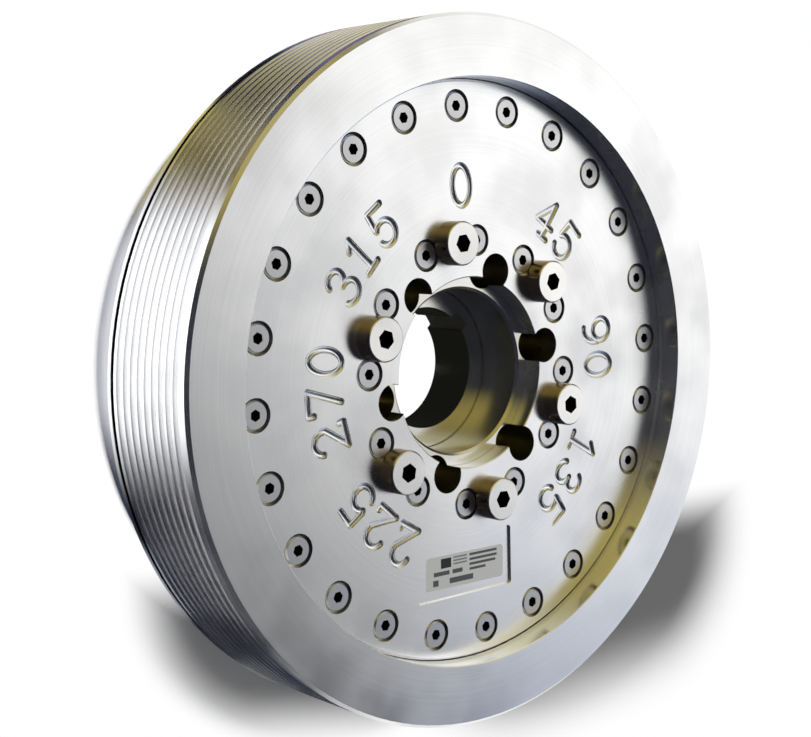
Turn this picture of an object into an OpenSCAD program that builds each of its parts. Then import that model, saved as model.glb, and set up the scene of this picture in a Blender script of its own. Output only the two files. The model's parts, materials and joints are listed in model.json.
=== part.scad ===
// Harmonic balancer: a turned pulley shell closed by a screwed face plate, with a steel hub in its
// middle and a steel inertia ring that floats on O-rings inside. It lies flat on its rear face, with
// the crank axis on Z and the first outer screw on +Y. Angles of patterns run clockwise from +Y.

/* [Pulley shell] */
// Diameter of the front rim and of the rear lip
rim_d = 213; // [206:0.5:222]
// Height from the rear face to the front of the rim
total_h = 69.4; // [66:0.2:80]
// Distance that the rim stands in front of the face plate
rim_proud = 7.4; // [4:0.2:10]
// Chamfer on the outer edge of the rim
rim_chamfer = 1; // [0.4:0.1:2]
// Chamfer on the inner edge of the rim
rim_bore_chamfer = 0.3; // [0.1:0.1:1]
// Distance from the outer screw circle out to the rim bore that takes the face plate
plate_edge_w = 8; // [7:0.1:11]
// Diameter of the plain body behind the rear lip
rear_body_d = 191.2; // [184:0.2:198]
// Thickness of the wall behind the inertia ring
rear_wall_t = 10; // [6:0.2:13]
// Distance from the outer screw circle in to the cavity that holds the inertia ring
cavity_edge_w = 6; // [4.5:0.1:10]
// Thickness of the wall between the ring cavity and the rear recess
inner_wall_t = 4.5; // [3:0.1:5]
// Thickness of the web that the hub is bolted to
web_t = 10; // [7:0.2:13]
// Chamfer on the outer edge of the rear face
rear_chamfer = 0.8; // [0.4:0.1:2]

/* [Belt grooves] */
// Number of grooves for the ribbed belt
groove_count = 9; // [6:1:10]
// Distance from one groove to the next
groove_pitch = 3.56; // [3.4:0.02:3.7]
// Depth of a groove
groove_depth = 2.9; // [2:0.1:3.1]
// Angle between the two flanks of a groove
groove_angle = 40; // [34:1:44]
// Width of the flat at the root of a groove
groove_root_w = 0.4; // [0.2:0.05:0.6]
// Distance from the front of the rim to the middle of the first groove
front_groove_back = 5.2; // [4.5:0.1:8]
// Distance from the middle of the last belt groove to the middle of the relief groove behind it
relief_groove_back = 3.5; // [3:0.1:5]
// Width of the relief groove
relief_groove_w = 1.6; // [1:0.1:2.4]
// Depth of the relief groove
relief_groove_depth = 4.5; // [3:0.1:6]
// Distance from the middle of the relief groove to the rear edge of the lip
rear_lip_w = 2.7; // [2:0.1:4]
// Chamfer on the rear edge of the lip
lip_chamfer = 0.3; // [0.1:0.1:0.8]

/* [Rear timing band] */
// Distance of the turned line from the rear face
line_z = 4.8; // [3:0.1:8]
// Width of the turned line
line_w = 0.6; // [0.3:0.1:1.2]
// Depth of the turned line
line_depth = 0.6; // [0.3:0.1:1.2]
// Step down from the plain body to the band behind the line
band_step = 0.3; // [0.1:0.1:1]
// Further loss of radius from the line to the rear face
band_taper = 0.6; // [0.2:0.1:1.5]

/* [Face plate] */
// Thickness of the face plate
plate_t = 12; // [9:0.2:15]
// Gap between the face plate and the rim bore
plate_gap = 0.2; // [0.1:0.05:0.4]
// Chamfer on the outer edge of the face plate
plate_chamfer = 0.8; // [0.3:0.1:1.5]
// Diameter of the round window in the face plate
window_d = 58; // [56:0.2:59]
// Chamfer on the edge of the window
window_chamfer = 0.3; // [0.1:0.1:0.8]
// Width of the milled label pocket
pocket_w = 38.6; // [34:0.2:44]
// Height of the milled label pocket
pocket_h = 18.6; // [14:0.2:20]
// Depth of the milled label pocket
pocket_depth = 0.8; // [0.4:0.1:2]
// Corner radius of the label pocket
pocket_corner_r = 1; // [0.5:0.1:3]
// Distance of the pocket's middle from the axis
pocket_r = 58.8; // [58:0.1:60]
// Angle of the pocket's middle
pocket_turn = 187; // [184:0.5:190]
// Angle that the pocket is turned by about its own middle
pocket_skew = 3; // [0:0.5:6]

/* [Hub] */
// Diameter of the hub flange, which the ring cavity runs round
flange_d = 100; // [98:0.2:103]
// Thickness of the hub flange
flange_t = 26; // [22:0.2:28]
// Distance that the front of the hub lies behind the face plate's front
hub_recess = 6; // [3:0.2:8]
// Radial gap round the hub's two spigots
spigot_gap = 0.05; // [0.02:0.01:0.1]
// Diameter of the web hole that the rear spigot fits
pilot_hole_d = 60; // [57:0.2:64]
// Length of the rear spigot
pilot_len = 4; // [2:0.2:6]
// Lead chamfer on the rear spigot
pilot_chamfer = 0.5; // [0.2:0.1:1]
// Diameter of the bore that fits the crank nose
crank_bore_d = 38.1; // [36:0.1:40]
// Length of the crank bore
crank_bore_len = 16.7; // [12:0.1:22]
// Diameter of the relief behind the crank bore
relief_d = 47; // [46.2:0.2:52]
// Depth of the relief behind the crank bore
relief_depth = 4; // [2:0.2:7]
// Diameter of the well that the crank bolt's washer goes into
well_d = 50.4; // [48:0.2:52]
// Chamfer on the front edge of the well
well_chamfer = 0.8; // [0.3:0.1:1.2]
// Width of the tool relief in the corner of the well
well_relief_w = 0.8; // [0.4:0.1:1.4]
// Depth of the tool relief in the corner of the well
well_relief_depth = 0.4; // [0.2:0.1:0.6]
// Width of the keyway in the crank bore
keyway_w = 6.35; // [5:0.05:8]
// Depth of the keyway, measured from the bore's surface
keyway_depth = 2.75; // [2:0.05:3]
// Angle of the keyway
keyway_turn = 50; // [0:1:359]

/* [Hole patterns] */
// Diameter of the outer screw circle
outer_circle_d = 160; // [152:0.5:172]
// Number of screws on the outer circle
outer_count = 24; // [12:4:24]
// Diameter of the circle of the hub bolts and the inner screws
inner_circle_d = 80.2; // [79:0.2:82]
// Number of hub bolts, of drive holes, and of pairs of inner screws
bolt_count = 6; // [3:1:6]
// Angle of the first inner screw
pattern_turn = 7.5; // [0:0.5:15]
// Diameter of the circle of the drive holes
drive_circle_d = 64; // [63:0.2:66]
// Diameter of a drive hole
drive_hole_d = 11; // [9:0.1:12]
// Distance from the front of the web to the bottom of a drive hole
drive_floor = 6; // [3:0.5:10]

/* [Face screws] */
// Diameter of a face screw's shank
screw_d = 5; // [4:0.1:5.5]
// Diameter of a face screw's head
screw_head_d = 8.4; // [7.4:0.1:8.8]
// Height of a face screw's head
screw_head_h = 3.5; // [2.5:0.1:4.5]
// Size of the hex socket across its flats
screw_hex = 3; // [2:0.1:4]
// Depth of the hex socket
screw_hex_depth = 1.8; // [1:0.1:2.2]
// Distance that a head lies below the face plate
screw_sink = 0.2; // [0.1:0.1:1]
// Radial gap between a head and its counterbore
screw_head_gap = 0.65; // [0.3:0.05:0.8]
// Radial gap between a shank and its hole in the face plate
screw_gap = 0.15; // [0.05:0.05:0.3]
// Length of a shank inside its tapped hole
screw_reach = 10; // [6:0.5:12]
// Distance that a tapped hole runs on past its screw
tap_runout = 2; // [1:0.5:4]
// Radial gap that stands for the thread
thread_gap = 0.05; // [0.02:0.01:0.1]
// Chamfer round the top of every screw and bolt head
head_chamfer = 0.5; // [0.2:0.1:0.8]

/* [Hub bolts] */
// Diameter of a hub bolt's shank
bolt_d = 8; // [7:0.1:9]
// Diameter of a hub bolt's head
bolt_head_d = 13.2; // [12:0.1:14]
// Height of a hub bolt's head
bolt_head_h = 5.3; // [4.5:0.1:8]
// Size of the hex socket across its flats
bolt_hex = 5; // [4:0.1:6]
// Depth of the hex socket
bolt_hex_depth = 3; // [2:0.1:4]
// Radial gap between a shank and its hole in the face plate and hub
bolt_gap = 0.4; // [0.2:0.05:0.6]
// Distance that a bolt ends short of the web's rear face
bolt_short = 1; // [0.5:0.1:3]

/* [Inertia ring] */
// Gap between the inertia ring and the walls of its cavity
ring_gap = 1; // [0.6:0.1:1.4]
// Chamfer on the ring's edges
ring_chamfer = 0.6; // [0.3:0.1:1.2]
// Diameter of the O-rings' cord
cord_d = 3.96; // [3.4:0.02:4.4]
// Gap between an O-ring and the walls round it
cord_gap = 0.02; // [0.01:0.01:0.05]
// Distance from the ring's edges to the middle of the face grooves
face_groove_in = 4; // [3.6:0.1:6]
// Distance from the ring's faces to the middle of the side grooves
side_groove_in = 9; // [8:0.2:12]

/* [Label] */
// Width of the bare foil label
label_w = 31.8; // [28:0.2:32]
// Height of the bare foil label
label_h = 10.2; // [8:0.2:12]
// Thickness of the foil
label_t = 0.15; // [0.05:0.05:0.4]
// Corner radius of the label
label_corner_r = 1.2; // [0.4:0.1:3]
// Distance of the label's middle from the pocket's, along the pocket
label_x = 0.5; // [-1:0.1:1]
// Distance of the label's middle from the pocket's, across the pocket
label_y = -1.25; // [-1.5:0.05:1.5]
// Angle that the label is turned by in its pocket
label_skew = 1; // [-1:0.1:1]

/* [Hidden] */
$fn = 128;

// Length by which a cutting shape runs past the surface that it opens
over = 1;

// Radii
rim_r = rim_d/2;
outer_circle_r = outer_circle_d/2;
rim_bore_r = outer_circle_r + plate_edge_w;
cavity_r = outer_circle_r - cavity_edge_w;
rear_body_r = rear_body_d/2;
flange_r = flange_d/2;
rear_recess_r = flange_r - inner_wall_t;
pilot_hole_r = pilot_hole_d/2;
window_r = window_d/2;
plate_r = rim_bore_r - plate_gap;
boss_r = window_r - spigot_gap;
pilot_r = pilot_hole_r - spigot_gap;
crank_bore_r = crank_bore_d/2;
relief_r = relief_d/2;
well_r = well_d/2;
inner_circle_r = inner_circle_d/2;
drive_circle_r = drive_circle_d/2;

// Heights, worked out from the front of the rim towards the rear
z_face = total_h - rim_proud;
z_seat = z_face - plate_t;
z_web = z_seat - flange_t;
z_web_rear = z_web - web_t;
z_boss = z_face - hub_recess;
z_pilot = z_web - pilot_len;
z_relief = z_pilot + relief_depth;
z_well = z_relief + crank_bore_len;
z_front_groove = total_h - front_groove_back;
z_last_groove = z_front_groove - (groove_count - 1)*groove_pitch;
z_relief_groove = z_last_groove - relief_groove_back;
z_lip = z_relief_groove - rear_lip_w;
z_head_seat = z_face - screw_sink - screw_head_h;

// Sections of the belt grooves and of the relief groove
groove_top_w = groove_root_w + 2*groove_depth*tan(groove_angle/2);
groove_root_r = rim_r - groove_depth;
relief_groove_r = rim_r - relief_groove_depth;

// Inertia ring and its O-ring grooves
ring_r_in = flange_r + ring_gap;
ring_r_out = cavity_r - ring_gap;
z_ring_rear = rear_wall_t + ring_gap;
z_ring_front = z_seat - ring_gap;
cord_groove_w = cord_d + 2*cord_gap;
cord_groove_depth = cord_groove_w - ring_gap;
face_oring_r_in = ring_r_in + face_groove_in;
face_oring_r_out = ring_r_out - face_groove_in;
z_side_rear = z_ring_rear + side_groove_in;
z_side_front = z_ring_front - side_groove_in;
oring_off = cord_d/2 + cord_gap;

// Angles of the patterns about the axis
bolt_step = 360/bolt_count;
inner_turns = [for (k = [0:2*bolt_count - 1]) pattern_turn + k*bolt_step/2];
drive_turns = [for (k = [0:bolt_count - 1]) pattern_turn + bolt_step/4 + k*bolt_step];
bolt_turns = [for (k = [0:bolt_count - 1]) pattern_turn + 3*bolt_step/4 + k*bolt_step];
outer_turns = [for (k = [0:outer_count - 1]) k*360/outer_count];
// Angle that the sockets differ by from one fastener to the next, as they do once tightened
socket_step = 23;

// Puts its children on a circle of radius r, one at each angle clockwise from +Y
module on_circle(r, turns) {
    for (i = [0:len(turns) - 1])
        rotate([0, 0, -turns[i]])
            translate([0, r, 0])
                children();
}

// A round hole or peg between two heights
module drum(r, z0, z1) {
    translate([0, 0, z0])
        cylinder(r = r, h = z1 - z0);
}

// A plate with rounded corners, standing on z = 0
module rounded_plate(w, h, r, t) {
    translate([-w/2 + r, -h/2, 0])
        cube([w - 2*r, h, t]);
    translate([-w/2, -h/2 + r, 0])
        cube([w, h - 2*r, t]);
    for (sx = [-1, 1], sy = [-1, 1])
        translate([sx*(w/2 - r), sy*(h/2 - r), 0])
            cylinder(r = r, h = t, $fn = 32);
}

// Cap screw with its head's underside at z = 0 and its shank going down
module cap_screw(d, len, head_d, head_h, hex, hex_depth) {
    difference() {
        rotate_extrude($fn = 48)
            polygon([
                [0, -len],
                [d/2 - head_chamfer, -len],
                [d/2, -len + head_chamfer],
                [d/2, 0],
                [head_d/2, 0],
                [head_d/2, head_h - head_chamfer],
                [head_d/2 - head_chamfer, head_h],
                [0, head_h]
            ]);
        translate([0, 0, head_h - hex_depth])
            cylinder(r = hex/sqrt(3), h = hex_depth + over, $fn = 6);
    }
}

// O-ring about the axis, with the middle of its cord at radius r and height z
module oring(r, z) {
    color("dimgray")
        rotate_extrude()
            translate([r, z])
                circle(r = cord_d/2, $fn = 32);
}

// Outline of one belt groove, listed from its rear edge to its front edge
function groove_outline(z) = [
    [rim_r, z - groove_top_w/2],
    [groove_root_r, z - groove_root_w/2],
    [groove_root_r, z + groove_root_w/2],
    [rim_r, z + groove_top_w/2]
];

// Outside of the shell's section, from the rear face up to the front of the rim
function shell_outside() = concat(
    [
        [rear_body_r - band_step - band_taper - rear_chamfer, 0],
        [rear_body_r - band_step - band_taper, rear_chamfer],
        [rear_body_r - band_step, line_z - line_w/2],
        [rear_body_r - band_step - line_depth, line_z - line_w/2],
        [rear_body_r - band_step - line_depth, line_z + line_w/2],
        [rear_body_r, line_z + line_w/2],
        [rear_body_r, z_lip],
        [rim_r - lip_chamfer, z_lip],
        [rim_r, z_lip + lip_chamfer],
        [rim_r, z_relief_groove - relief_groove_w/2],
        [relief_groove_r, z_relief_groove - relief_groove_w/2],
        [relief_groove_r, z_relief_groove + relief_groove_w/2],
        [rim_r, z_relief_groove + relief_groove_w/2]
    ],
    [for (k = [0:groove_count - 1], p = groove_outline(z_last_groove + k*groove_pitch)) p],
    [
        [rim_r, total_h - rim_chamfer],
        [rim_r - rim_chamfer, total_h]
    ]
);

// Inside of the shell's section, from the front of the rim down to the rear face
function shell_inside() = [
    [rim_bore_r + rim_bore_chamfer, total_h],
    [rim_bore_r, total_h - rim_bore_chamfer],
    [rim_bore_r, z_seat],
    [cavity_r, z_seat],
    [cavity_r, rear_wall_t],
    [flange_r, rear_wall_t],
    [flange_r, z_web],
    [pilot_hole_r, z_web],
    [pilot_hole_r, z_web_rear],
    [rear_recess_r, z_web_rear],
    [rear_recess_r, 0]
];

// Pulley shell: rim, belt grooves, ring cavity and web turned from one billet
module shell() {
    color([0.80, 0.81, 0.83])
        difference() {
            rotate_extrude()
                polygon(concat(shell_outside(), shell_inside()));
            on_circle(outer_circle_r, outer_turns)
                drum(screw_d/2 + thread_gap, z_seat - screw_reach - tap_runout, z_seat + over);
            on_circle(inner_circle_r, bolt_turns)
                drum(bolt_d/2 + thread_gap, z_web_rear - over, z_web + over);
        }
}

// Counterbored hole for a face screw, through the face plate
module face_screw_hole() {
    drum(screw_d/2 + screw_gap, z_seat - over, z_face + over);
    drum(screw_head_d/2 + screw_head_gap, z_head_seat, z_face + over);
}

// Places its children in the frame of the label pocket, with z = 0 on the pocket's floor
module in_pocket() {
    rotate([0, 0, -pocket_turn])
        translate([0, pocket_r, z_face - pocket_depth])
            rotate([0, 0, pocket_turn - pocket_skew])
                children();
}

// Face plate that closes the ring cavity
module cover() {
    color([0.84, 0.85, 0.87])
        difference() {
            rotate_extrude()
                polygon([
                    [window_r, z_seat],
                    [plate_r, z_seat],
                    [plate_r, z_face - plate_chamfer],
                    [plate_r - plate_chamfer, z_face],
                    [window_r + window_chamfer, z_face],
                    [window_r, z_face - window_chamfer]
                ]);
            on_circle(outer_circle_r, outer_turns)
                face_screw_hole();
            on_circle(inner_circle_r, inner_turns)
                face_screw_hole();
            on_circle(inner_circle_r, bolt_turns)
                drum(bolt_d/2 + bolt_gap, z_seat - over, z_face + over);
            on_circle(drive_circle_r, drive_turns)
                drum(drive_hole_d/2, z_seat - over, z_face + over);
            in_pocket()
                rounded_plate(pocket_w, pocket_h, pocket_corner_r, pocket_depth + over);
        }
}

// Steel hub: flange, two spigots, crank bore with its keyway, and the bolt well
module hub() {
    color([0.62, 0.61, 0.58])
        difference() {
            rotate_extrude()
                polygon([
                    [relief_r, z_pilot],
                    [pilot_r - pilot_chamfer, z_pilot],
                    [pilot_r, z_pilot + pilot_chamfer],
                    [pilot_r, z_web],
                    [flange_r, z_web],
                    [flange_r, z_seat],
                    [boss_r, z_seat],
                    [boss_r, z_boss],
                    [well_r + well_chamfer, z_boss],
                    [well_r, z_boss - well_chamfer],
                    [well_r, z_well + well_relief_w],
                    [well_r + well_relief_depth, z_well + well_relief_w],
                    [well_r + well_relief_depth, z_well],
                    [crank_bore_r, z_well],
                    [crank_bore_r, z_relief],
                    [relief_r, z_relief]
                ]);
            rotate([0, 0, -keyway_turn])
                translate([-keyway_w/2, 0, z_relief - over])
                    cube([keyway_w, crank_bore_r + keyway_depth, crank_bore_len + 2*over]);
            on_circle(inner_circle_r, inner_turns)
                drum(screw_d/2 + thread_gap, z_seat - screw_reach - tap_runout, z_seat + over);
            on_circle(inner_circle_r, bolt_turns)
                drum(bolt_d/2 + bolt_gap, z_web - over, z_seat + over);
            on_circle(drive_circle_r, drive_turns)
                drum(drive_hole_d/2, z_web + drive_floor, z_boss + over);
        }
}

// Inertia ring: the steel mass, with a groove for each of its eight O-rings
module inertia_ring() {
    side_half = cord_groove_w/2;
    color([0.45, 0.46, 0.48])
        rotate_extrude()
            difference() {
                polygon([
                    [ring_r_in + ring_chamfer, z_ring_rear],
                    [ring_r_out - ring_chamfer, z_ring_rear],
                    [ring_r_out, z_ring_rear + ring_chamfer],
                    [ring_r_out, z_ring_front - ring_chamfer],
                    [ring_r_out - ring_chamfer, z_ring_front],
                    [ring_r_in + ring_chamfer, z_ring_front],
                    [ring_r_in, z_ring_front - ring_chamfer],
                    [ring_r_in, z_ring_rear + ring_chamfer]
                ]);
                for (r = [face_oring_r_in, face_oring_r_out]) {
                    translate([r - side_half, z_ring_front - cord_groove_depth])
                        square([cord_groove_w, cord_groove_depth + over]);
                    translate([r - side_half, z_ring_rear - over])
                        square([cord_groove_w, cord_groove_depth + over]);
                }
                for (z = [z_side_rear, z_side_front]) {
                    translate([ring_r_out - cord_groove_depth, z - side_half])
                        square([cord_groove_depth + over, cord_groove_w]);
                    translate([ring_r_in - over, z - side_half])
                        square([cord_groove_depth + over, cord_groove_w]);
                }
            }
}

module front_outer_oring() {
    oring(face_oring_r_out, z_seat - oring_off);
}

module front_inner_oring() {
    oring(face_oring_r_in, z_seat - oring_off);
}

module rear_outer_oring() {
    oring(face_oring_r_out, rear_wall_t + oring_off);
}

module rear_inner_oring() {
    oring(face_oring_r_in, rear_wall_t + oring_off);
}

module radial_front_oring() {
    oring(cavity_r - oring_off, z_side_front);
}

module radial_rear_oring() {
    oring(cavity_r - oring_off, z_side_rear);
}

module bore_front_oring() {
    oring(flange_r + oring_off, z_side_front);
}

module bore_rear_oring() {
    oring(flange_r + oring_off, z_side_rear);
}

// One circle of face screws, each socket turned a little further than the last
module face_screws(r, turns) {
    color([0.66, 0.66, 0.64])
        for (i = [0:len(turns) - 1])
            rotate([0, 0, -turns[i]])
                translate([0, r, z_head_seat])
                    rotate([0, 0, i*socket_step])
                        cap_screw(screw_d, z_head_seat - z_seat + screw_reach, screw_head_d,
                            screw_head_h, screw_hex, screw_hex_depth);
}

module outer_screws() {
    face_screws(outer_circle_r, outer_turns);
}

module inner_screws() {
    face_screws(inner_circle_r, inner_turns);
}

// Bolts that clamp the face plate, the hub and the shell's web together
module main_bolts() {
    color([0.74, 0.73, 0.70])
        for (i = [0:len(bolt_turns) - 1])
            rotate([0, 0, -bolt_turns[i]])
                translate([0, inner_circle_r, z_face])
                    rotate([0, 0, i*socket_step])
                        cap_screw(bolt_d, z_face - z_web_rear - bolt_short, bolt_head_d,
                            bolt_head_h, bolt_hex, bolt_hex_depth);
}

// Bare foil label on the pocket's floor
module rating_label() {
    color([0.78, 0.78, 0.76])
        in_pocket()
            translate([label_x, label_y, 0])
                rotate([0, 0, -label_skew])
                    rounded_plate(label_w, label_h, label_corner_r, label_t);
}

shell();
cover();
hub();
inertia_ring();
front_outer_oring();
front_inner_oring();
rear_outer_oring();
rear_inner_oring();
radial_front_oring();
radial_rear_oring();
bore_front_oring();
bore_rear_oring();
outer_screws();
inner_screws();
main_bolts();
rating_label();
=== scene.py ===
"""Harmonic balancer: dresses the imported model, carves its degree scale and lights it in a studio.

The part lies on its rear face on the floor at z = 0, with the crank axis on Z and the first outer
screw on +Y. Turns of patterns run clockwise from +Y, seen from the front. Lengths are in metres.
"""

import json
import logging
import math
from dataclasses import dataclass, field
from enum import Enum

import bmesh
import bpy
from mathutils import Matrix, Vector

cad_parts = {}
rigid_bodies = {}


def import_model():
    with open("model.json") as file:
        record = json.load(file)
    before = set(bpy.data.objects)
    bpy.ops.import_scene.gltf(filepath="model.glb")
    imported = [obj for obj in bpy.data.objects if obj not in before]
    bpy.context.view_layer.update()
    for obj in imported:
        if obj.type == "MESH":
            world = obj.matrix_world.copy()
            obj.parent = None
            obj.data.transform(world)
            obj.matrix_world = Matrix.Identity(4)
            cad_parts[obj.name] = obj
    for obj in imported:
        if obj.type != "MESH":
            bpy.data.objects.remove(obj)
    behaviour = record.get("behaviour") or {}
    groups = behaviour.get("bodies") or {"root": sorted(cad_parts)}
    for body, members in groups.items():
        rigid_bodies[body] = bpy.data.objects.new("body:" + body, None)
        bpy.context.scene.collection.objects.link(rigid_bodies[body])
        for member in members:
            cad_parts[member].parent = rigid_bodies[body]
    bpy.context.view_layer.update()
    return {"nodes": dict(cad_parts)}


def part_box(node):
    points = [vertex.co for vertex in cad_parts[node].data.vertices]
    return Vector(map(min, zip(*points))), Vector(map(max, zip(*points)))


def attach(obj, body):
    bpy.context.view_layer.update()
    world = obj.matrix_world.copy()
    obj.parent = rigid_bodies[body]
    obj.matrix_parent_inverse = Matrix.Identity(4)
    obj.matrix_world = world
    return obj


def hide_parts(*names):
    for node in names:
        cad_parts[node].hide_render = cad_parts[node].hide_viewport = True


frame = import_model()

MM = 0.001
BODY = "root"
# Most values of a noise texture lie between these two
NOISE_LOW, NOISE_HIGH = 0.3, 0.7
# Steps of the round outlines of the studio's rings and card, and of the digits' strokes
SECTOR_STEP_DEG = 3
ARC_STEP_DEG = 10
Colour = tuple[float, float, float]
WHITE: Colour = (1.0, 1.0, 1.0)
Socket = bpy.types.NodeSocket
log = logging.getLogger("balancer")


def on_plate(radius: float, turn_deg: float) -> tuple[float, float]:
    """Gives the x and y of a point at a radius and a clockwise turn from +Y.

    Args:
        radius: Distance from the crank axis.
        turn_deg: Turn from +Y, clockwise seen from the front, in degrees.

    Returns:
        The point's x and y.
    """
    turn = math.radians(turn_deg)
    return radius * math.sin(turn), radius * math.cos(turn)


class ShaderTree:
    """A node material in the making, with short ways to add nodes and to join them."""

    def __init__(self, owner: bpy.types.Material | bpy.types.World) -> None:
        """Empties the owner's node tree.

        Args:
            owner: The material or world that the nodes belong to.
        """
        owner.use_nodes = True
        self.owner = owner
        self.nodes = owner.node_tree.nodes
        self.links = owner.node_tree.links
        self.nodes.clear()

    def feed(self, target: Socket, value: Socket | float | tuple) -> None:
        """Joins a socket to the target, or sets the target to a constant.

        Args:
            target: The input socket.
            value: Another node's output, a number, a vector or a colour.
        """
        if isinstance(value, bpy.types.NodeSocket):
            self.links.new(value, target)
        elif target.type == "RGBA":
            target.default_value = (*value, 1.0)
        else:
            target.default_value = value

    def node(
        self, kind: str, settings: dict[str, object] | None = None, **inputs: object
    ) -> bpy.types.Node:
        """Adds a node.

        Args:
            kind: The node's type name, without its ShaderNode prefix.
            settings: The node's own properties.
            inputs: Values or sockets by input name, with _ for a blank, or in0, in1 ... by place.

        Returns:
            The new node.
        """
        made = self.nodes.new("ShaderNode" + kind)
        for key, value in (settings or {}).items():
            setattr(made, key, value)
        for key, value in inputs.items():
            by_place = key.startswith("in") and key[2:].isdigit()
            place = int(key[2:]) if by_place else key.replace("_", " ")
            self.feed(made.inputs[place], value)
        return made

    def math(self, operation: str, *values: Socket | float) -> Socket:
        """Adds a Math node.

        Args:
            operation: The node's operation.
            values: Its inputs in order.

        Returns:
            The result's socket.
        """
        made = self.node("Math", {"operation": operation})
        for target, value in zip(made.inputs, values):
            self.feed(target, value)
        return made.outputs[0]

    def vector(self, operation: str, *values: Socket | tuple) -> bpy.types.Node:
        """Adds a Vector Math node.

        Args:
            operation: The node's operation.
            values: Its inputs in order.

        Returns:
            The node, whose outputs are a vector and, for some operations, a value.
        """
        made = self.node("VectorMath", {"operation": operation})
        for target, value in zip(made.inputs, values):
            self.feed(target, value)
        return made

    def ramp(self, value: Socket, low: float, high: float, to_low: float, to_high: float) -> Socket:
        """Maps a value from one range smoothly to another, and holds it there.

        Args:
            value: The value to map.
            low: The value that gives to_low.
            high: The value that gives to_high.
            to_low: The result at low.
            to_high: The result at high.

        Returns:
            The result's socket.
        """
        smooth = {"interpolation_type": "SMOOTHSTEP"}
        made = self.node("MapRange", smooth, in0=value, in1=low, in2=high, in3=to_low, in4=to_high)
        return made.outputs[0]

    def blend(
        self, share: Socket | float, first: Socket | Colour, second: Socket | Colour
    ) -> Socket:
        """Mixes two colours.

        Args:
            share: How much of the second colour there is, from 0 to 1.
            first: The colour at 0.
            second: The colour at 1.

        Returns:
            The mixed colour's socket.
        """
        made = self.node("Mix", {"data_type": "RGBA"})
        # The places of the Mix node's sockets when it mixes colours
        for place, value in ((0, share), (6, first), (7, second)):
            self.feed(made.inputs[place], value)
        return made.outputs[2]

    def level(self, place: Socket) -> Socket:
        """Gives a place with its height set to 0."""
        return self.vector("MULTIPLY", place, (1.0, 1.0, 0.0)).outputs[0]

    def length(self, vector: Socket) -> Socket:
        """Gives a vector's length."""
        return self.vector("LENGTH", vector).outputs[1]

    def glow(self, colour: Socket | Colour) -> Socket:
        """Adds an even glow that shows a colour as it is written."""
        return self.node("Emission", Color=colour, Strength=1.0).outputs[0]

    def surface(self, shader: Socket, output: str = "OutputMaterial") -> None:
        """Joins a shader to the surface of a new output node."""
        self.feed(self.node(output).inputs["Surface"], shader)


def new_material(name: str) -> ShaderTree:
    """Starts a material under a name."""
    return ShaderTree(bpy.data.materials.new(name))


class Around(Enum):
    """What the turning marks of a finish run round."""

    CRANK_AXIS = "the crank axis"
    OWN_AXIS = "the axis of each fastener on a circle"


@dataclass(frozen=True)
class FastenerCircle:
    """A circle of like fasteners or holes about the crank axis."""

    radius: float
    count: int
    first_turn_deg: float

    def own_place(self, tree: ShaderTree, place: Socket) -> Socket:
        """Folds a place on any of them to the same place on the first.

        Args:
            tree: The tree that the nodes go into.
            place: Object coordinates.

        Returns:
            Coordinates about the first one's own axis.
        """
        parts = tree.node("SeparateXYZ", in0=place)
        distance = tree.length(tree.level(place))
        turn = tree.math("ARCTAN2", parts.outputs[0], parts.outputs[1])
        step = math.tau / self.count
        past_first = tree.math("SUBTRACT", turn, math.radians(self.first_turn_deg))
        folded = tree.math("WRAP", past_first, step / 2, -step / 2)
        across = tree.math("MULTIPLY", distance, tree.math("SINE", folded))
        outward = tree.math("MULTIPLY", distance, tree.math("COSINE", folded))
        outward = tree.math("SUBTRACT", outward, self.radius)
        return tree.node("CombineXYZ", in0=across, in1=outward, in2=parts.outputs[2]).outputs[0]


@dataclass(frozen=True)
class DarkInside:
    """Painted shade: colour darker than the finish round it, within a radius and between two
    heights.

    It is a hole or a shaded side, where little light gets out. It lies about the crank axis, or
    with a circle about the axis of each place on that circle.
    """

    reach: float
    low: float
    high: float
    circle: FastenerCircle | None = None
    soft: float = 0.15 * MM
    # The colour of the painted shade
    colour: Colour = (0.012, 0.012, 0.014)

    def share(self, tree: ShaderTree, place: Socket) -> Socket:
        """Finds how far inside the painted shade a point lies.

        Args:
            tree: The tree that the nodes go into.
            place: Object coordinates.

        Returns:
            1 inside the painted shade and 0 outside, with a soft edge.
        """
        about = self.circle.own_place(tree, place) if self.circle else place
        distance = tree.length(tree.level(about))
        height = tree.node("SeparateXYZ", in0=about).outputs[2]
        within = tree.ramp(distance, self.reach - self.soft, self.reach, 1.0, 0.0)
        above = tree.ramp(height, self.low - self.soft, self.low, 0.0, 1.0)
        below = tree.ramp(height, self.high - self.soft, self.high, 1.0, 0.0)
        return tree.math("MULTIPLY", within, tree.math("MULTIPLY", above, below))


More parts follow.
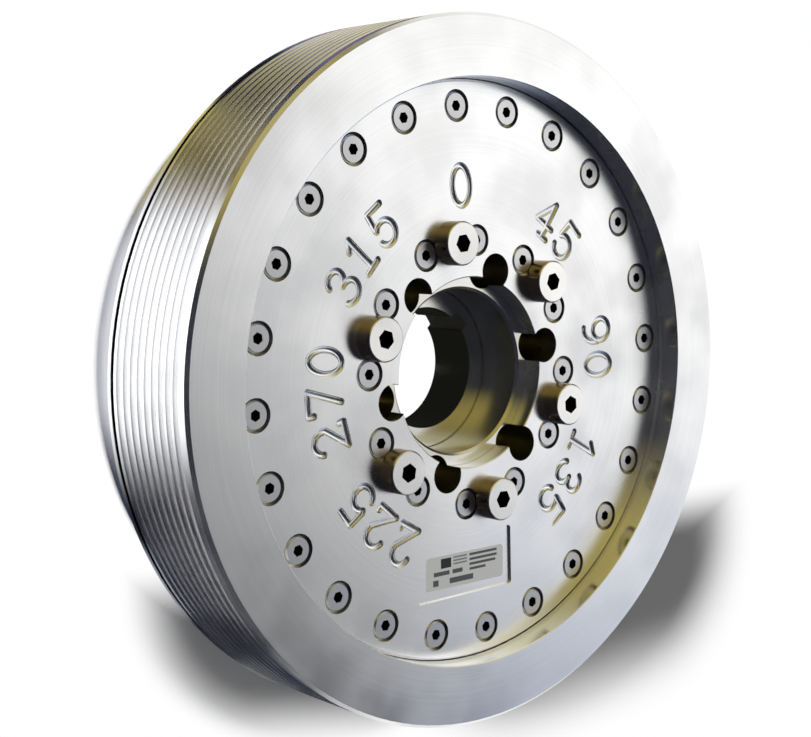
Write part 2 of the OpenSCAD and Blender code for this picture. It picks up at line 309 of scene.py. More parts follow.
@dataclass(frozen=True)
class TurnedMetal:
    """Lathe-turned metal with fine rings round an axis, and faint stains.

    About the crank axis its highlight is drawn out across the rings. Shade can be painted into its
    colour inside holes, sockets and grooves.
    """

    name: str
    colour: Colour
    roughness: float
    anisotropy: float = 0.7
    anisotropy_turn: float = 0.25
    mark_width: float = 0.5 * MM
    mark_depth: float = 0.7e-3 * MM
    mark_tint: float = 0.04
    mark_drift: float = 0.8
    mark_detail: float = 3.0
    mark_fineness: float = 0.6
    stain: float = 0.05
    stain_size: float = 22 * MM
    stain_detail: float = 2.0
    circle: FastenerCircle | None = None
    # Places where shade is painted into the colour
    insides: tuple[DarkInside, ...] = ()

    @property
    def around(self) -> Around:
        """Says which axis the marks run round."""
        return Around.OWN_AXIS if self.circle else Around.CRANK_AXIS

    def rings(self, tree: ShaderTree, place: Socket) -> Socket:
        """Makes the noise of the turning marks, long round the axis and fine across it.

        Args:
            tree: The tree that the nodes go into.
            place: Coordinates about the axis.

        Returns:
            A value round 0.5 that varies from ring to ring.
        """
        level = tree.level(place)
        distance = tree.length(level)
        heading = tree.node("SeparateXYZ", in0=tree.vector("NORMALIZE", level).outputs[0])
        height = tree.node("SeparateXYZ", in0=place).outputs[2]
        marks = tree.node(
            "CombineXYZ",
            in0=tree.math("DIVIDE", distance, self.mark_width),
            in1=tree.math("DIVIDE", height, self.mark_width),
            in2=tree.math("MULTIPLY", heading.outputs[0], self.mark_drift),
        )
        noise = tree.node(
            "TexNoise",
            {"noise_dimensions": "4D"},
            Vector=marks.outputs[0],
            W=tree.math("MULTIPLY", heading.outputs[1], self.mark_drift),
            Scale=1.0,
            Detail=self.mark_detail,
            Roughness=self.mark_fineness,
        )
        return noise.outputs[0]

    def groove_heading(self, tree: ShaderTree, place: Socket) -> Socket:
        """Gives the direction in which the turning marks run round the crank axis."""
        across = tree.vector("CROSS_PRODUCT", (0.0, 0.0, 1.0), place).outputs[0]
        return tree.vector("NORMALIZE", across).outputs[0]

    def material(self) -> bpy.types.Material:
        """Builds the material.

        Returns:
            A node material of this finish.
        """
        tree = new_material(self.name)
        place = tree.node("TexCoord").outputs["Object"]
        about = self.circle.own_place(tree, place) if self.circle else place
        rings = self.rings(tree, about)
        stains = tree.node(
            "TexNoise", Vector=place, Scale=1.0 / self.stain_size, Detail=self.stain_detail
        ).outputs[0]
        dark = tuple(c * (1.0 - self.mark_tint) for c in self.colour)
        tone = tree.blend(tree.ramp(rings, NOISE_LOW, NOISE_HIGH, 0.0, 1.0), dark, self.colour)
        # Shade painted into the colour inside holes, sockets and grooves
        for inside in self.insides:
            tone = tree.blend(inside.share(tree, place), tone, inside.colour)
        unevenness = tree.ramp(stains, NOISE_LOW, NOISE_HIGH, -self.stain, self.stain)
        rough = tree.math("ADD", unevenness, self.roughness)
        bump = tree.node("Bump", Strength=1.0, Distance=self.mark_depth, Height=rings)
        metal = tree.node(
            "BsdfPrincipled",
            Base_Color=tone,
            Metallic=1.0,
            Roughness=rough,
            Normal=bump.outputs[0],
        )
        if self.around is Around.CRANK_AXIS:
            metal.inputs["Anisotropic"].default_value = self.anisotropy
            metal.inputs["Anisotropic Rotation"].default_value = self.anisotropy_turn
            tree.feed(metal.inputs["Tangent"], self.groove_heading(tree, place))
        tree.surface(metal.outputs[0])
        return tree.owner


@dataclass(frozen=True)
class Rubber:
    """Matt black O-ring rubber with a fine moulded grain."""

    name: str = "oring_rubber_moulded"
    colour: Colour = (0.012, 0.012, 0.013)
    roughness: float = 0.62
    grain: float = 0.35 * MM
    grain_detail: float = 3.0
    grain_depth: float = 0.02 * MM
    grain_strength: float = 0.4
    pale_factor: float = 2.0

    def material(self) -> bpy.types.Material:
        """Builds the material.

        Returns:
            A node material of this finish.
        """
        tree = new_material(self.name)
        place = tree.node("TexCoord").outputs["Object"]
        grain = tree.node(
            "TexNoise", Vector=place, Scale=1.0 / self.grain, Detail=self.grain_detail
        ).outputs[0]
        bump = tree.node(
            "Bump", Strength=self.grain_strength, Distance=self.grain_depth, Height=grain
        )
        pale = tuple(self.pale_factor * c for c in self.colour)
        rubber = tree.node(
            "BsdfPrincipled",
            Base_Color=tree.blend(grain, self.colour, pale),
            Roughness=self.roughness,
            Normal=bump.outputs[0],
        )
        tree.surface(rubber.outputs[0])
        return tree.owner


@dataclass(frozen=True)
class Flat:
    """A plain glow of one tone that looks the same from everywhere, for cards of the studio."""

    name: str
    colour: Colour

    def material(self) -> bpy.types.Material:
        """Builds the material.

        Returns:
            An even glow.
        """
        tree = new_material(self.name)
        tree.surface(tree.glow(self.colour))
        return tree.owner


def dress(piece: bpy.types.Object, material: bpy.types.Material) -> None:
    """Gives a piece one material in place of what it has."""
    piece.data.materials.clear()
    piece.data.materials.append(material)


def finished_mesh(name: str, shape: bmesh.types.BMesh) -> bpy.types.Mesh:
    """Turns a shape in the making into a mesh of that name, and frees the shape.

    Args:
        name: The mesh's name.
        shape: The shape, which can't be used any more.

    Returns:
        The mesh.
    """
    mesh = bpy.data.meshes.new(name)
    shape.to_mesh(mesh)
    shape.free()
    return mesh


def mesh_piece(name: str, mesh: bpy.types.Mesh) -> bpy.types.Object:
    """Puts a mesh into the scene.

    Args:
        name: The name of the object that shows the mesh.
        mesh: The mesh.

    Returns:
        The object.
    """
    piece = bpy.data.objects.new(name, mesh)
    bpy.context.scene.collection.objects.link(piece)
    return piece


@dataclass
class PhotoCamera:
    """The camera, in the place that the photograph was taken from."""

    place: tuple[float, float, float] = (-309.9 * MM, 70.6 * MM, 397.2 * MM)
    aim: tuple[float, float, float] = (-26.2 * MM, 5.1 * MM, 62 * MM)
    picture_up: tuple[float, float, float] = (0.1439, 0.987, -0.071)
    lens_mm: float = 67.55
    sensor_mm: float = 36.0
    nearest: float = 10 * MM

    def build(self) -> bpy.types.Object:
        """Makes the camera and gives it to the scene.

        Returns:
            The camera.
        """
        data = bpy.data.cameras.new("photo_camera")
        data.lens = self.lens_mm
        data.sensor_width = self.sensor_mm
        data.clip_start = self.nearest
        camera = bpy.data.objects.new("photo_camera", data)
        bpy.context.scene.collection.objects.link(camera)
        back = (Vector(self.place) - Vector(self.aim)).normalized()
        right = Vector(self.picture_up).cross(back).normalized()
        up = back.cross(right)
        turned = Matrix((right, up, back)).transposed().to_4x4()
        camera.matrix_world = Matrix.Translation(self.place) @ turned
        bpy.context.scene.camera = camera
        return camera


@dataclass(frozen=True)
class SoftPanel:
    """A soft area of one tone in the surroundings that the metal mirrors."""

    toward: tuple[float, float, float]
    core_deg: float
    edge_deg: float
    tone: Colour


def flat_sector(
    name: str, radii: tuple[float, float], turns_deg: tuple[float, float], height: float
) -> bpy.types.Object:
    """Makes a level piece of the stage, between two radii and two turns about the crank axis.

    Neither the camera nor a matt surface sees it.

    Args:
        name: The piece's name.
        radii: Its inner and outer radius.
        turns_deg: Its first and last turn from +Y, which may be a whole turn apart.
        height: Its height above the floor.

    Returns:
        The piece.
    """
    shape = bmesh.new()
    steps = math.ceil((turns_deg[1] - turns_deg[0]) / SECTOR_STEP_DEG)
    rows = []
    for k in range(steps + 1):
        turn = turns_deg[0] + (turns_deg[1] - turns_deg[0]) * k / steps
        rows.append([shape.verts.new((*on_plate(r, turn), height)) for r in radii])
    for near, far in zip(rows, rows[1:]):
        shape.faces.new((near[0], near[1], far[1], far[0]))
    piece = mesh_piece(name, finished_mesh(name, shape))
    piece.visible_camera = False
    piece.visible_diffuse = False
    return piece


@dataclass(frozen=True)
class MirrorZone:
    """A stretch of a mirror ring in one colour, which fades out at both ends."""

    middle_deg: float
    half_deg: float
    fade_deg: float
    colour: Colour


@dataclass
class MirrorRing:
    """A painted ring about the crank axis, just above the floor, that only the metal mirrors."""

    name: str
    inner: float
    outer: float
    ground: Colour
    zones: tuple[MirrorZone, ...] = ()
    height: float = 0.4 * MM

    def paint(self) -> bpy.types.Material:
        """Builds the paint, whose colour follows the turn round the axis.

        Returns:
            An even glow in the colours of the zones.
        """
        tree = new_material(self.name + "_paint")
        place = tree.node("SeparateXYZ", in0=tree.node("TexCoord").outputs["Object"])
        turn = tree.math("ARCTAN2", place.outputs[0], place.outputs[1])
        tone: Socket | Colour = self.ground
        for zone in self.zones:
            past = tree.math("SUBTRACT", turn, math.radians(zone.middle_deg))
            away = tree.math("ABSOLUTE", tree.math("WRAP", past, math.pi, -math.pi))
            half = math.radians(zone.half_deg)
            share = tree.ramp(away, half, half + math.radians(zone.fade_deg), 1.0, 0.0)
            tone = tree.blend(share, tone, zone.colour)
        tree.surface(tree.glow(tone))
        return tree.owner

    def build(self) -> bpy.types.Object:
        """Makes the ring, which the camera doesn't see and which casts no shadow.

        Returns:
            The ring.
        """
        ring = flat_sector(self.name, (self.inner, self.outer), (0.0, 360.0), self.height)
        dress(ring, self.paint())
        ring.visible_shadow = False
        return ring


@dataclass
class Flag:
    """A card above the floor that doesn't show, and that widens the shadow beside the rear body."""

    radii: tuple[float, float] = (84 * MM, 121 * MM)
    turns_deg: tuple[float, float] = (165.0, 262.0)
    height: float = 18.6 * MM
    middle: tuple[float, float] = (-18.6 * MM, 2.6 * MM)

    def build(self) -> bpy.types.Object:
        """Makes the card, which only stops light.

        Returns:
            The card.
        """
        card = flat_sector("shadow_flag", self.radii, self.turns_deg, self.height)
        for corner in card.data.vertices:
            corner.co.x += self.middle[0]
            corner.co.y += self.middle[1]
        dress(card, Flat("flag_black", (0.0, 0.0, 0.0)).material())
        card.visible_glossy = False
        card.visible_transmission = False
        return card


@dataclass(frozen=True)
class PaperPatch:
    """A stretch of the floor that takes the part's shadow, near a line between two points."""

    start: tuple[float, float]
    end: tuple[float, float]
    full: float
    gone: float

    def outside(self, tree: ShaderTree, place: Socket) -> Socket:
        """Finds how far outside the stretch a point of the floor lies.

        Args:
            tree: The tree that the nodes go into.
            place: Object coordinates.

        Returns:
            0 within the full distance of the line, and 1 from the distance at which it is gone.
        """
        line = Vector((*self.end, 0.0)) - Vector((*self.start, 0.0))
        heading = tuple(line.normalized())
        from_start = tree.vector("SUBTRACT", place, (*self.start, 0.0)).outputs[0]
        along = tree.vector("DOT_PRODUCT", from_start, heading).outputs[1]
        along = tree.math("MINIMUM", tree.math("MAXIMUM", along, 0.0), line.length)
        foot = tree.node("VectorMath", {"operation": "SCALE"}, in0=heading, in3=along)
        away = tree.vector("DISTANCE", from_start, foot.outputs[0]).outputs[1]
        return tree.ramp(away, self.full, self.gone, 0.0, 1.0)


# The painted rings, from the middle outwards
UNDER_BORE = MirrorRing("under_bore", 1 * MM, 60 * MM, (0.02, 0.02, 0.018))
FOOT_RING = MirrorRing("foot_ring", 95.7 * MM, 100 * MM, (0.04, 0.045, 0.08), (
    MirrorZone(284.0, 12.0, 16.0, (0.45, 0.46, 0.52)),
    MirrorZone(322.0, 12.0, 8.0, (0.36, 0.32, 0.18)),
))
NEAR_RING = MirrorRing("near_ring", 100 * MM, 122 * MM, (0.02, 0.02, 0.04), (
    MirrorZone(0.0, 6.0, 8.0, (0.42, 0.39, 0.60)),
    MirrorZone(203.0, 4.0, 6.0, (0.45, 0.48, 0.43)),
    MirrorZone(234.0, 5.0, 6.0, (0.45, 0.48, 0.56)),
    MirrorZone(288.0, 16.0, 22.0, (0.80, 0.80, 0.84)),
    MirrorZone(322.0, 6.0, 6.0, (0.85, 0.75, 0.28)),
))
FAR_RING = MirrorRing("far_ring", 122 * MM, 190 * MM, (0.02, 0.02, 0.03), (
    MirrorZone(0.0, 7.0, 10.0, (0.14, 0.12, 0.22)),
    MirrorZone(204.0, 4.0, 8.0, (0.05, 0.06, 0.10)),
    MirrorZone(320.0, 7.0, 8.0, (0.14, 0.10, 0.02)),
    MirrorZone(285.0, 13.0, 22.0, (1.52, 1.54, 1.58)),
))


@dataclass
class Studio:
    """A white floor that takes the shadow, a soft sun, and surroundings that the metal mirrors."""

    floor_size: float = 6.0
    floor_colour: Colour = (0.96, 0.96, 0.96)
    # Within this radius the floor is plain white, so that it shows through the bore
    bore_glow_r: float = 60 * MM
    # The shadow shows on these two stretches, and fades out between two lines that slant across
    left_paper: PaperPatch = PaperPatch(
        start=(-31 * MM, -65 * MM), end=(10 * MM, -76 * MM), full=38 * MM, gone=62 * MM
    )
    right_paper: PaperPatch = PaperPatch(
        start=(70 * MM, -106 * MM), end=(157 * MM, -106 * MM), full=18 * MM, gone=64 * MM
    )
    paper_top_slope: float = 0.1
    paper_top_low: float = -82 * MM
    paper_top_high: float = -60 * MM
    ambient: float = 0.14
    sun_strength: float = 6.4
    sun_turn_deg: float = 297.0
    sun_height_deg: float = 27.0
    sun_spread_deg: float = 12.0
    surround: Colour = (0.022, 0.024, 0.034)
    horizon_low: float = 0.04
    horizon_high: float = 0.11
    panels: tuple[SoftPanel, ...] = (
        SoftPanel((0.64, 0.61, 0.46), 1.0, 37.0, (0.78, 0.73, 0.48)),
        SoftPanel((-0.16, 0.84, 0.52), 1.0, 41.0, (0.46, 0.38, 0.11)),
        SoftPanel((0.79, -0.52, 0.33), 1.0, 30.0, (0.42, 0.52, 0.76)),
        SoftPanel((0.77, 0.03, 0.64), 1.0, 27.5, (1.18, 1.18, 1.17)),
        SoftPanel((-0.12, 0.08, 0.99), 4.0, 21.0, (0.62, 0.62, 0.63)),
    )
    rings: tuple[MirrorRing, ...] = (UNDER_BORE, FOOT_RING, NEAR_RING, FAR_RING)
    flag: Flag = field(default_factory=Flag)

    def build_floor(self) -> bpy.types.Object:
        """Makes the floor: paper that takes the shadow on two stretches, and plain white elsewhere.

        Returns:
            The floor.
        """
        shape = bmesh.new()
        bmesh.ops.create_grid(shape, x_segments=1, y_segments=1, size=self.floor_size / 2)
        floor = mesh_piece("floor", finished_mesh("floor", shape))
        tree = new_material("white_floor")
        place = tree.node("TexCoord").outputs["Object"]
        under = tree.math("LESS_THAN", tree.length(place), self.bore_glow_r)
        off_left = self.left_paper.outside(tree, place)
        off_right = self.right_paper.outside(tree, place)
        beyond = tree.math("MINIMUM", off_left, off_right)
        level = tree.vector("DOT_PRODUCT", place, (self.paper_top_slope, 1.0, 0.0)).outputs[1]
        above = tree.ramp(level, self.paper_top_low, self.paper_top_high, 0.0, 1.0)
        white = tree.math("MAXIMUM", under, tree.math("MAXIMUM", beyond, above))
        share = tree.math("MULTIPLY", white, self.seen_or_mirrored(tree))
        paper = tree.node("BsdfDiffuse", Color=self.floor_colour)
        glow = tree.glow(WHITE)
        mixed = tree.node("MixShader", in0=share)
        tree.feed(mixed.inputs[1], paper.outputs[0])
        tree.feed(mixed.inputs[2], glow)
        tree.surface(mixed.outputs[0])
        dress(floor, tree.owner)
        return floor

    def seen_or_mirrored(self, tree: ShaderTree) -> Socket:
        """Tells rays that show a surface from rays that only light matt ones.

        Args:
            tree: The tree that the nodes go into.

        Returns:
            1 for a ray from the camera, off a mirroring surface or through a clear one, else 0.
        """
        path = tree.node("LightPath")
        seen = tree.math("MAXIMUM", path.outputs["Is Camera Ray"], path.outputs["Is Glossy Ray"])
        return tree.math("MAXIMUM", seen, path.outputs["Is Transmission Ray"])

    def build_sun(self) -> bpy.types.Object:
        """Makes the soft sun that lights the floor and casts the part's shadow.

        Returns:
            The lamp.
        """
        data = bpy.data.lights.new("soft_sun", "SUN")
        data.energy = self.sun_strength
        data.angle = math.radians(self.sun_spread_deg)
        sun = bpy.data.objects.new("soft_sun", data)
        bpy.context.scene.collection.objects.link(sun)
        height = math.radians(self.sun_height_deg)
        toward = Vector((*on_plate(math.cos(height), self.sun_turn_deg), math.sin(height)))
        sun.rotation_mode = "QUATERNION"
        sun.rotation_quaternion = toward.to_track_quat("Z", "Y")
        sun.location = toward
        sun.visible_glossy = False
        return sun

    def build_surroundings(self) -> bpy.types.World:
        """Makes the world: white behind the part, even light, and panels for the metal to mirror.

        Returns:
            The world.
        """
        world = bpy.data.worlds.new("studio")
        tree = ShaderTree(world)
        toward = tree.node("TexCoord").outputs["Generated"]
        tone: Socket | Colour = self.surround
        for panel in self.panels:
            aim = tuple(Vector(panel.toward).normalized())
            facing = tree.vector("DOT_PRODUCT", toward, aim).outputs[1]
            core = math.cos(math.radians(panel.core_deg))
            edge = math.cos(math.radians(panel.edge_deg))
            tone = tree.blend(tree.ramp(facing, edge, core, 0.0, 1.0), tone, panel.tone)
        rise = tree.node("SeparateXYZ", in0=toward).outputs[2]
        backdrop = tree.ramp(rise, self.horizon_low, self.horizon_high, 1.0, 0.0)
        backdrop = tree.math("MAXIMUM", backdrop, tree.node("LightPath").outputs["Is Camera Ray"])
        tone = tree.blend(backdrop, tone, WHITE)
        mirrored = tree.node("Background", Color=tone, Strength=1.0)
        even = tree.node("Background", Color=WHITE, Strength=self.ambient)
        mixed = tree.node("MixShader", in0=self.seen_or_mirrored(tree))
        tree.feed(mixed.inputs[1], even.outputs[0])
        tree.feed(mixed.inputs[2], mirrored.outputs[0])
        tree.surface(mixed.outputs[0], "OutputWorld")
        bpy.context.scene.world = world
        return world

    def build(self) -> None:
        """Makes the whole studio."""
        self.build_floor()
        self.build_sun()
        self.build_surroundings()
        for ring in self.rings:
            ring.build()
        self.flag.build()
        bpy.context.scene.view_settings.view_transform = "Standard"


# The six drive holes, which go through the plate into the hub, with olive shade painted inside them
DRIVE_HOLE_SHADE = DarkInside(
    reach=5.7 * MM,
    low=20 * MM,
    high=61.8 * MM,
    circle=FastenerCircle(32 * MM, 6, 22.5),
    colour=(0.66, 0.61, 0.42),
)


@dataclass
class PulleyShell:
    """The turned pulley shell, with painted shade in the narrow relief groove behind its belt
    grooves.
    """

    finish: TurnedMetal = TurnedMetal(
        "turned_shell",
        (0.93, 0.93, 0.935),
        0.22,
        # Black shade painted inside the relief groove
        insides=(DarkInside(reach=106.2 * MM, low=31.3 * MM, high=33.1 * MM),),
    )

    def build(self) -> bpy.types.Object:
        """Dresses the shell's node.

        Returns:
            The shell.
        """
        shell = frame["nodes"]["shell"]
        dress(shell, self.finish.material())
        return shell


@dataclass(frozen=True)
class Numeral:
    """The strokes of one carved digit of unit width and height, as paths about its middle.

    A path lists its points in order. One that ends where it starts is a closed loop.
    """

    paths: tuple[tuple[tuple[float, float], ...], ...]


def arc(
    middle: tuple[float, float], half: tuple[float, float], start_deg: float, end_deg: float
) -> tuple[tuple[float, float], ...]:
    """Lists points along part of an ellipse.

    Args:
        middle: The ellipse's middle.
        half: Its half width and half height.
        start_deg: Where the path starts, counted from +x towards +y.
        end_deg: Where it ends.

    Returns:
        The points, about one step of turn apart.
    """
    count = max(2, round(abs(end_deg - start_deg) / ARC_STEP_DEG))
    turns = [math.radians(start_deg + (end_deg - start_deg) * k / count) for k in range(count + 1)]
    return tuple(
        (middle[0] + half[0] * math.cos(t), middle[1] + half[1] * math.sin(t)) for t in turns
    )


# Digits in the manner of plain engraved slab numerals, one unit wide and one unit high
NUMERALS = {
    "0": Numeral((arc((0, 0), (0.42, 0.5), 0, 360),)),
    "1": Numeral((((-0.3, 0.28), (0, 0.5)), ((0, 0.5), (0, -0.5)), ((-0.32, -0.5), (0.32, -0.5)))),
    "2": Numeral((
        arc((0, 0.2), (0.4, 0.3), 165, -25),
        ((0.36, 0.07), (-0.42, -0.5)),
        ((-0.42, -0.5), (0.42, -0.5)),
        ((0.42, -0.5), (0.42, -0.36)),
    )),
    "3": Numeral((arc((0, 0.26), (0.36, 0.24), 160, -90), arc((0, -0.24), (0.42, 0.26), 90, -160))),
    "4": Numeral((
        ((0.16, 0.5), (-0.44, -0.16)),
        ((-0.44, -0.16), (0.44, -0.16)),
        ((0.16, 0.5), (0.16, -0.5)),
        ((-0.08, -0.5), (0.4, -0.5)),
    )),
    "5": Numeral((
        ((0.36, 0.5), (-0.32, 0.5)),
        ((-0.32, 0.5), (-0.36, 0.04)),
        arc((0, -0.19), (0.42, 0.31), 142, -155),
    )),
    "7": Numeral((
        ((-0.42, 0.34), (-0.42, 0.5)),
        ((-0.42, 0.5), (0.42, 0.5)),
        ((0.42, 0.5), (-0.1, -0.5)),
    )),
    "9": Numeral((
        arc((-0.12, 0.0), (0.54, 0.5), -104, 0),
        arc((0, 0.18), (0.42, 0.32), 0, 360),
    )),
}


@dataclass
class FacePlate:
    """The face plate, with a plain degree scale carved into it by a round-nosed cutter."""

    # Its colour has olive shade painted inside the drive holes
    finish: TurnedMetal = TurnedMetal(
        "turned_plate", (0.94, 0.94, 0.945), 0.24, insides=(DRIVE_HOLE_SHADE,)
    )
    scale_radius: float = 56.5 * MM
    digit_w: float = 8.4 * MM
    digit_h: float = 11.8 * MM
    digit_pitch: float = 11.2 * MM
    cutter_r: float = 1.12 * MM
    cutter_rise: float = 0.25 * MM
    turns_deg: tuple[int, ...] = (0, 45, 90, 135, 225, 270, 315)
    cutter_sides: int = 20
    nose_turns_deg: tuple[int, ...] = (15, 35, 55, 75)
    weld: float = 1e-6
    sharp_deg: float = 28.0

    def stroke(self, path: list[Vector], closed: bool) -> bpy.types.Mesh:
        """Sweeps the round nose of the cutter along a level path.

        Args:
            path: The points that the nose's middle passes through.
            closed: True if the path joins up with its own start.

        Returns:
            A closed mesh of what the cutter takes away.
        """
        shape = bmesh.new()
        up = Vector((0.0, 0.0, 1.0))
        count = len(path)
        rings = []

        def ring(middle: Vector, heading: Vector, radius: float) -> None:
            """Adds one ring of the sweep.

            Args:
                middle: The ring's middle.
                heading: The way that the cutter goes, which the ring lies across.
                radius: The ring's radius.
            """
            side = heading.cross(up).normalized()
            turns = [math.tau * k / self.cutter_sides for k in range(self.cutter_sides)]
            rings.append([
                shape.verts.new(middle + radius * (math.cos(t) * side + math.sin(t) * up))
                for t in turns
            ])

        headings = []
        for k in range(count):
            before = path[(k - 1) % count] if closed else path[max(k - 1, 0)]
            after = path[(k + 1) % count] if closed else path[min(k + 1, count - 1)]
            headings.append((after - before).normalized())
        nose_turns = [math.radians(d) for d in self.nose_turns_deg]
        if not closed:
            for t in nose_turns:
                back = self.cutter_r * math.cos(t)
                ring(path[0] - back * headings[0], headings[0], self.cutter_r * math.sin(t))
        for middle, heading in zip(path, headings):
            ring(middle, heading, self.cutter_r)
        if not closed:
            for t in reversed(nose_turns):
                on = self.cutter_r * math.cos(t)
                ring(path[-1] + on * headings[-1], headings[-1], self.cutter_r * math.sin(t))
        pairs = list(zip(rings, rings[1:]))
        if closed:
            pairs.append((rings[-1], rings[0]))
        for near, far in pairs:
            for k in range(self.cutter_sides):
                n = (k + 1) % self.cutter_sides
                shape.faces.new((near[k], near[n], far[n], far[k]))
        if not closed:
            first = shape.verts.new(path[0] - self.cutter_r * headings[0])
            last = shape.verts.new(path[-1] + self.cutter_r * headings[-1])
            for k in range(self.cutter_sides):
                n = (k + 1) % self.cutter_sides
                shape.faces.new((rings[0][n], rings[0][k], first))
                shape.faces.new((rings[-1][k], rings[-1][n], last))
        bmesh.ops.recalc_face_normals(shape, faces=shape.faces)
        return finished_mesh("stroke", shape)

    def number_strokes(self, turn_deg: int, face_z: float) -> list[bpy.types.Mesh]:
        """Makes the strokes of one number of the scale.

        Args:
            turn_deg: The number, which is also its turn from +Y.
            face_z: Height of the plate's face.

        Returns:
            One mesh for each stroke.
        """
        text = str(turn_deg)
        strokes = []
        for place, digit in enumerate(text):
            along = (place - (len(text) - 1) / 2) * self.digit_pitch
            turn = math.radians(turn_deg) + along / self.scale_radius
            outward = Vector((math.sin(turn), math.cos(turn), 0.0))
            across = Vector((math.cos(turn), -math.sin(turn), 0.0))
            middle = self.scale_radius * outward + Vector((0.0, 0.0, face_z + self.cutter_rise))
            for path in NUMERALS[digit].paths:
                points = [
                    middle + x * self.digit_w * across + y * self.digit_h * outward for x, y in path
                ]
                closed = (points[0] - points[-1]).length < self.weld
                strokes.append(self.stroke(points[:-1] if closed else points, closed))
        return strokes

    def build(self) -> bpy.types.Object:
        """Copies the plate's node, carves the scale into the copy and dresses it.

        Returns:
            The carved plate.
        """
        node = frame["nodes"]["cover"]
        shape = bmesh.new()
        shape.from_mesh(node.data)
        bmesh.ops.remove_doubles(shape, verts=shape.verts, dist=self.weld)
        mesh = finished_mesh("face_plate", shape)
        mesh.attributes.remove(mesh.attributes["custom_normal"])
        plate = mesh_piece("face_plate", mesh)
        face_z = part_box("cover")[1].z
        cutters = bpy.data.collections.new("cutters")
        bpy.context.scene.collection.children.link(cutters)
        for turn_deg in self.turns_deg:
            for stroke in self.number_strokes(turn_deg, face_z):
                cutters.objects.link(bpy.data.objects.new("cutter", stroke))
        carve = plate.modifiers.new("carve", "BOOLEAN")
        carve.operation = "DIFFERENCE"
        carve.solver = "MANIFOLD"
        carve.operand_type = "COLLECTION"
        carve.collection = cutters
        evaluated = plate.evaluated_get(bpy.context.evaluated_depsgraph_get())
        carved = bpy.data.meshes.new_from_object(evaluated)
        plate.modifiers.clear()
        plate.data = carved
        for cutter in list(cutters.objects):
            bpy.data.objects.remove(cutter)
        bpy.data.collections.remove(cutters)
        carved.polygons.foreach_set("use_smooth", [True] * len(carved.polygons))
        carved.set_sharp_from_angle(angle=math.radians(self.sharp_deg))
        dress(plate, self.finish.material())
        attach(plate, BODY)
        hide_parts("cover")
        return plate


@dataclass
class Hub:
    """The steel hub, with painted shade inside its crank bore and its drive holes."""

    finish: TurnedMetal = TurnedMetal(
        "turned_hub",
        (0.78, 0.77, 0.73),
        0.2,
        anisotropy=0.6,
        insides=(
            # Olive shade painted inside the drive holes
            DRIVE_HOLE_SHADE,
            # Grey-green shade painted inside the crank bore
            DarkInside(reach=19.6 * MM, low=14 * MM, high=40.4 * MM, colour=(0.34, 0.34, 0.30)),
        ),
    )

    def build(self) -> bpy.types.Object:
        """Dresses the hub's node.

        Returns:
            The hub.
        """
        hub = frame["nodes"]["hub"]
        dress(hub, self.finish.material())
        return hub


@dataclass
class Damper:
    """The inertia ring and the O-rings that it floats on."""

    ring_finish: TurnedMetal = TurnedMetal("turned_ring", (0.42, 0.41, 0.4), 0.32)
    rubber: Rubber = Rubber()

    def build(self) -> list[bpy.types.Object]:
        """Dresses the ring and its O-rings.

        Returns:
            The nodes that were dressed.
        """
        nodes = frame["nodes"]
        dress(nodes["inertia_ring"], self.ring_finish.material())
        rubber = self.rubber.material()
        orings = [nodes[name] for name in sorted(nodes) if name.endswith("_oring")]
        for oring in orings:
            dress(oring, rubber)
        return [nodes["inertia_ring"], *orings]


@dataclass
class Fasteners:
    """The face screws on their two circles and the hub bolts."""

    outer: FastenerCircle = FastenerCircle(80 * MM, 24, 0.0)
    inner: FastenerCircle = FastenerCircle(40.1 * MM, 12, 7.5)
    bolts: FastenerCircle = FastenerCircle(40.1 * MM, 6, 52.5)
    screw_colour: Colour = (0.74, 0.74, 0.75)
    screw_roughness: float = 0.34
    screw_socket_r: float = 1.85 * MM
    bolt_colour: Colour = (0.92, 0.91, 0.89)
    bolt_roughness: float = 0.26
    # A dark brown reflection painted on the sides of the bolts' heads
    bolt_side_colour: Colour = (0.34, 0.27, 0.20)
    bolt_head_r: float = 10 * MM
    bolt_socket_r: float = 3.0 * MM
    socket_edge: float = 0.2 * MM
    mark_width: float = 0.3 * MM

    def build(self) -> list[bpy.types.Object]:
        """Dresses the fasteners' nodes, with shade painted into their sockets.

        The sides of the bolts' heads get a painted dark brown reflection.

        Returns:
            The nodes that were dressed.
        """
        made = []
        screw = (self.screw_colour, self.screw_roughness, self.screw_socket_r)
        bolt = (self.bolt_colour, self.bolt_roughness, self.bolt_socket_r)
        for name, circle, (colour, roughness, socket_r) in (
            ("outer_screws", self.outer, screw),
            ("inner_screws", self.inner, screw),
            ("main_bolts", self.bolts, bolt),
        ):
            bottom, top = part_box(name)
            high = top.z - self.socket_edge
            # Black shade painted into each socket
            insides = (DarkInside(socket_r, bottom.z, high, circle=circle),)
            # The sides of the bolts' heads get a painted brown reflection
            if circle is self.bolts:
                side = DarkInside(
                    self.bolt_head_r, bottom.z, high, circle=circle, colour=self.bolt_side_colour
                )
                insides = (side, *insides)
            finish = TurnedMetal(
                name + "_finish",
                colour,
                roughness,
                mark_width=self.mark_width,
                circle=circle,
                insides=insides,
            )
            dress(frame["nodes"][name], finish.material())
            made.append(frame["nodes"][name])
        return made


@dataclass(frozen=True)
class PrintBar:
    """A plain field of print on the label, placed from the label's middle, in millimetres."""

    x: float
    y: float
    width: float
    height: float
    tone: float = 0.10

    def share(self, tree: ShaderTree, place: bpy.types.Node) -> Socket:
        """Gives 1 on the bar and 0 beside it.

        Args:
            tree: The tree that the nodes go into.
            place: The node that separates the label's own coordinates.

        Returns:
            The share's socket.
        """
        along = tree.math("COMPARE", place.outputs[0], self.x * MM, self.width * MM / 2)
        across = tree.math("COMPARE", place.outputs[1], self.y * MM, self.height * MM / 2)
        return tree.math("MULTIPLY", along, across)


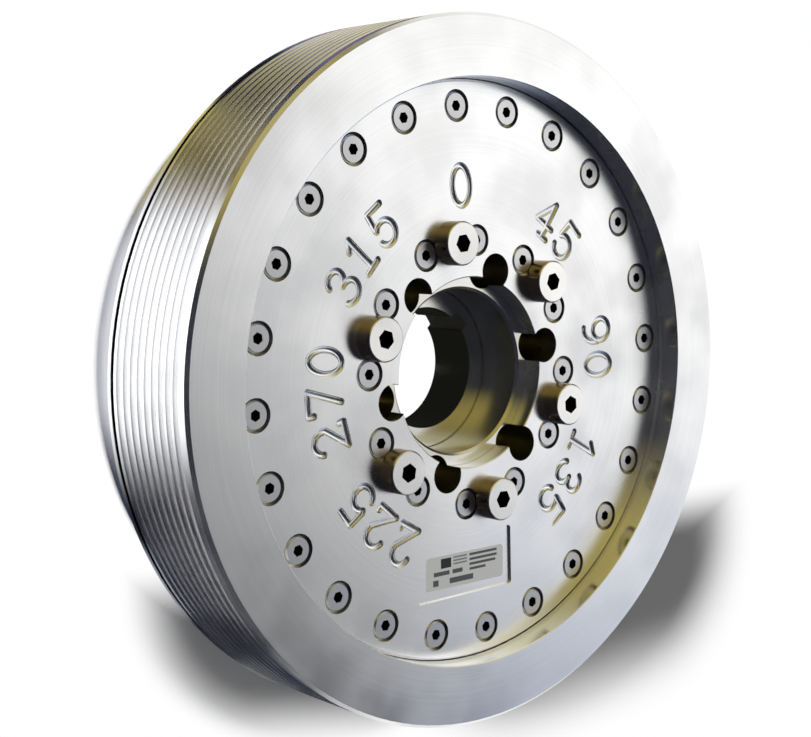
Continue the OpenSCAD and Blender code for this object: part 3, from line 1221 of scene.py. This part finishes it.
@dataclass
class RatingLabel:
    """The foil label in its milled pocket, whose print is plain bars."""

    foil: Colour = (0.58, 0.58, 0.54)
    metallic: float = 0.6
    roughness: float = 0.4
    turn_deg: float = -4.0
    bars: tuple[PrintBar, ...] = (
        PrintBar(-8.0, 2.7, 4.2, 3.0, 0.03),
        PrintBar(-2.2, 4.0, 5.6, 0.5, 0.22),
        PrintBar(-2.2, 3.0, 5.6, 0.5, 0.22),
        PrintBar(-2.2, 2.0, 5.6, 0.5, 0.22),
        PrintBar(7.5, 3.9, 11.6, 0.8),
        PrintBar(7.5, 2.4, 11.6, 0.8),
        PrintBar(7.2, 0.9, 11.0, 0.8),
        PrintBar(5.1, -0.6, 6.8, 0.8),
        PrintBar(-9.8, -0.3, 6.4, 1.3),
        PrintBar(-3.3, -0.3, 4.2, 1.3),
        PrintBar(-12.2, -3.0, 2.2, 1.9),
        PrintBar(-1.7, -3.0, 9.8, 1.7),
    )

    def material(self, middle: Vector) -> bpy.types.Material:
        """Builds the foil with its printed bars.

        Args:
            middle: The label's middle.

        Returns:
            The material.
        """
        tree = new_material("label_foil_print")
        place = tree.node("TexCoord").outputs["Object"]
        about = tree.vector("SUBTRACT", place, tuple(middle)).outputs[0]
        back = -math.radians(self.turn_deg)
        level = tree.node("VectorRotate", {"rotation_type": "Z_AXIS"}, Vector=about, Angle=back)
        own = tree.node("SeparateXYZ", in0=level.outputs[0])
        tone: Socket | Colour = self.foil
        for bar in self.bars:
            tone = tree.blend(bar.share(tree, own), tone, (bar.tone, bar.tone, bar.tone))
        foil = tree.node(
            "BsdfPrincipled", Base_Color=tone, Metallic=self.metallic, Roughness=self.roughness
        )
        tree.surface(foil.outputs[0])
        return tree.owner

    def build(self) -> bpy.types.Object:
        """Dresses the label's node.

        Returns:
            The label.
        """
        label = frame["nodes"]["rating_label"]
        bottom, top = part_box("rating_label")
        dress(label, self.material((bottom + top) / 2))
        return label


def main() -> None:
    """Builds the camera, the studio and every sub-assembly in order."""
    logging.basicConfig(level=logging.INFO, format="%(name)s: %(message)s")
    PhotoCamera().build()
    Studio().build()
    for assembly in (PulleyShell(), FacePlate(), Hub(), Damper(), Fasteners(), RatingLabel()):
        made = assembly.build()
        for piece in made if isinstance(made, list) else [made]:
            faces = len(piece.data.polygons)
            log.info("%s: %s, %d faces", type(assembly).__name__, piece.name, faces)


if __name__ == "__main__":
    main()
